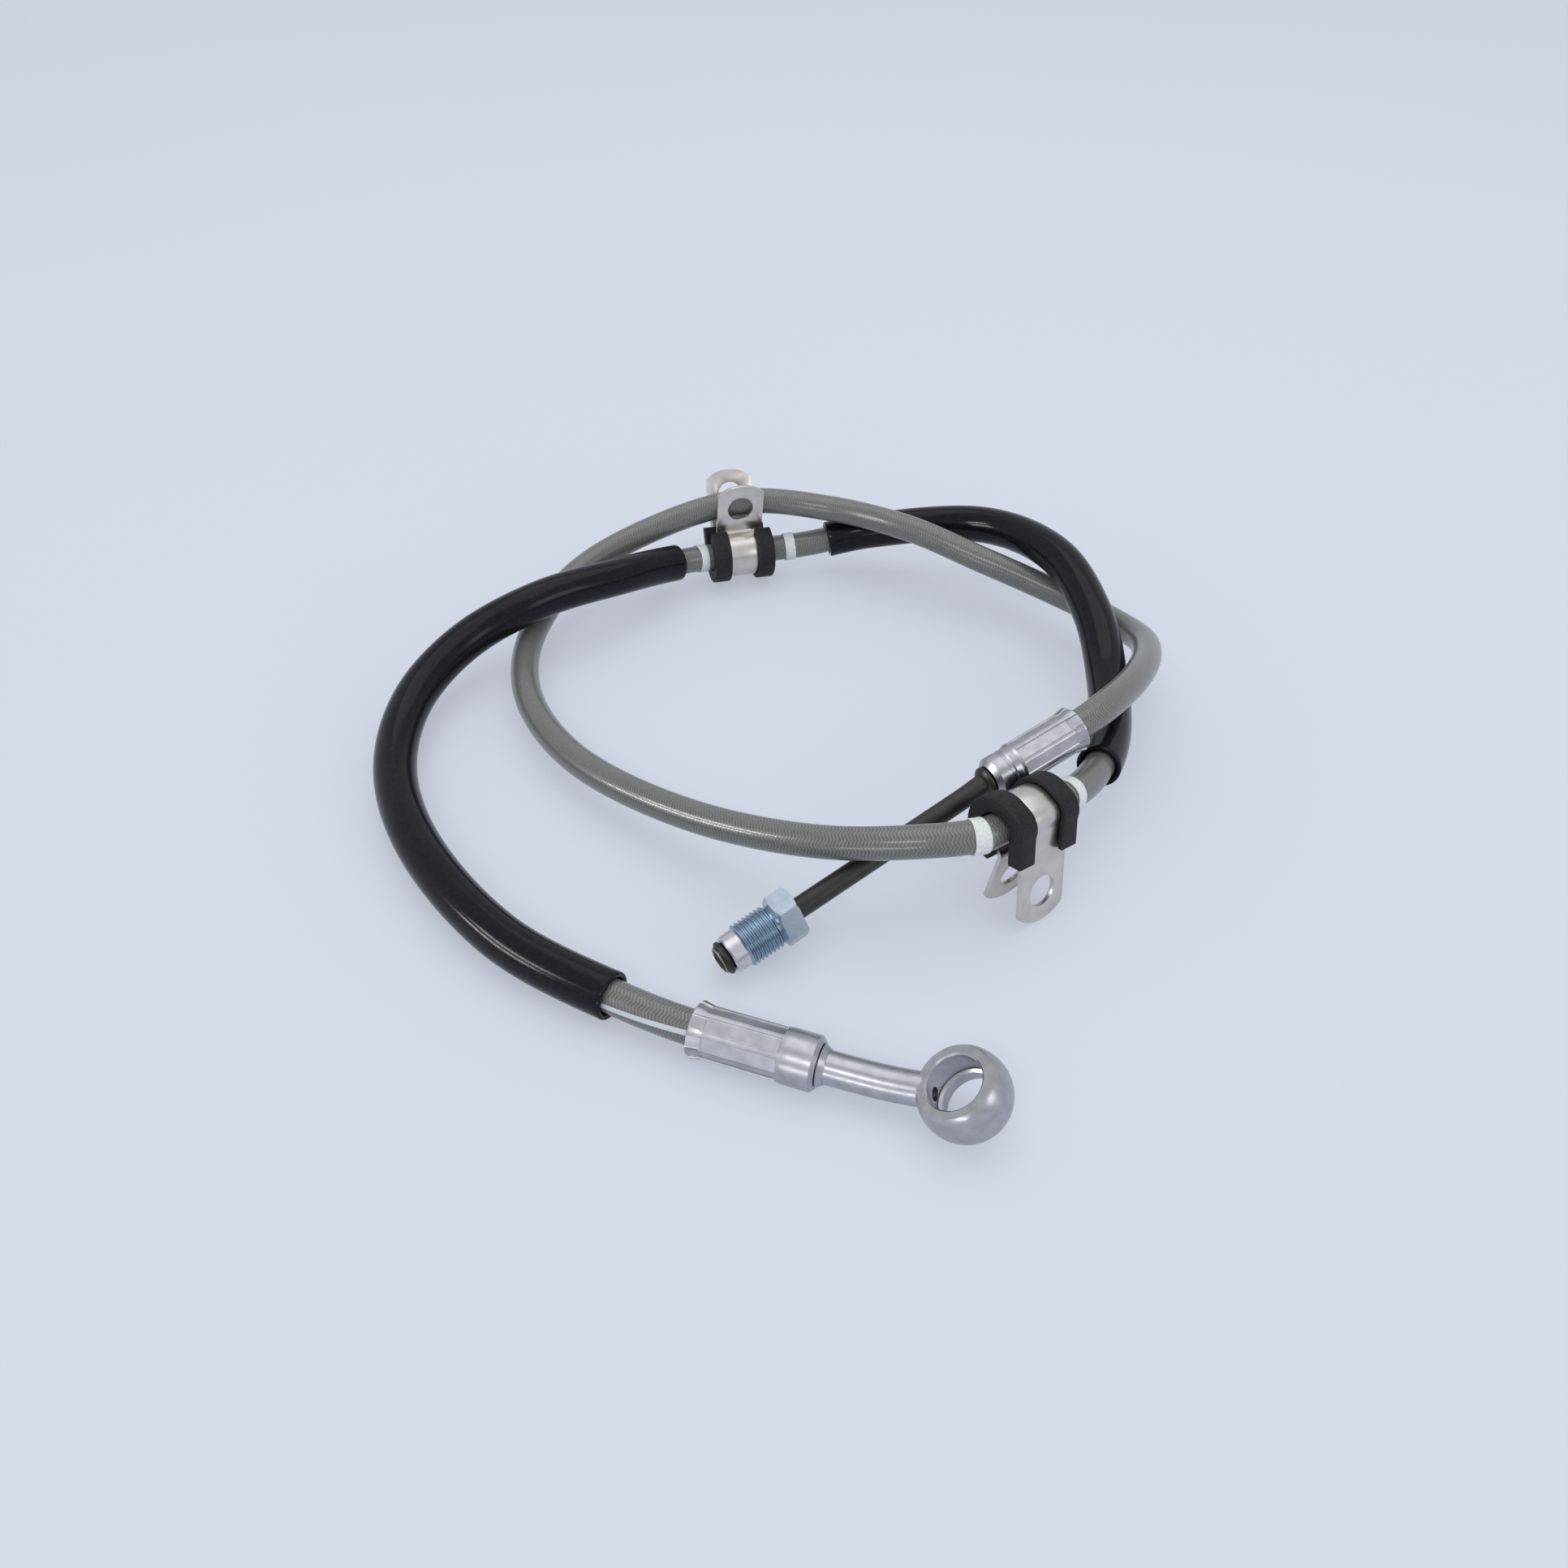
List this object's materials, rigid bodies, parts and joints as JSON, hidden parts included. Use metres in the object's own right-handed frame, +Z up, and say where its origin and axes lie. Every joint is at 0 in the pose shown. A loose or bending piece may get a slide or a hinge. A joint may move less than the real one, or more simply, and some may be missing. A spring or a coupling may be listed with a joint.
{
  "type": "brake hose",
  "caption": "Braided flexible brake hose with a banjo eye at one end, a pipe with a tube nut at the other, protective sleeves and cushioned clamps on it.",
  "frame": {"origin": "On the table, under the middle of the box round the two end fittings and the clamps", "axes": "+Z up from the table, +Y away from the end fittings towards the rear clamp, +X to the right as the end fittings are seen"},
  "size_m": [0.1979, 0.221, 0.0323],
  "materials": {
    "hose_cover": "slightly translucent grey, semi-gloss",
    "steel_braid": "braided stainless wire",
    "liner": "smooth",
    "sleeve": "near-black, semi-gloss",
    "marker_band": "matt white",
    "clamp_steel": "satin stainless",
    "clamp_rubber": "matt",
    "zinc_plate": "bright zinc plate",
    "coated_pipe": "dark olive coating, satin",
    "blue_zinc_plate": "blue zinc plate"
  },
  "bodies": {
    "hose_body": {"hose_cover": "hose_cover", "steel_braid": "steel_braid", "ptfe_liner": "liner", "left_sleeve": "sleeve", "right_sleeve": "sleeve", "marker_band_1": "marker_band", "marker_band_2": "marker_band", "marker_band_3": "marker_band", "marker_band_4": "marker_band", "rear_clamp_strap": "clamp_steel", "rear_clamp_cushion": "clamp_rubber", "front_clamp_strap": "clamp_steel", "front_clamp_cushion": "clamp_rubber", "banjo_ferrule": "zinc_plate", "pipe_ferrule": "zinc_plate", "banjo_fitting": "zinc_plate", "pipe_insert": "zinc_plate", "brake_pipe": "coated_pipe"},
    "nut_body": {"tube_nut": "blue_zinc_plate"}
  },
  "joints": [
    {"name": "tube_nut_turn", "type": "hinge", "parent": "hose_body", "child": "nut_body", "pos_m": [-0.036, -0.0649, 0.0048], "axis": [0.8174, 0.5243, 0.2387], "continuous": true}
  ]
}
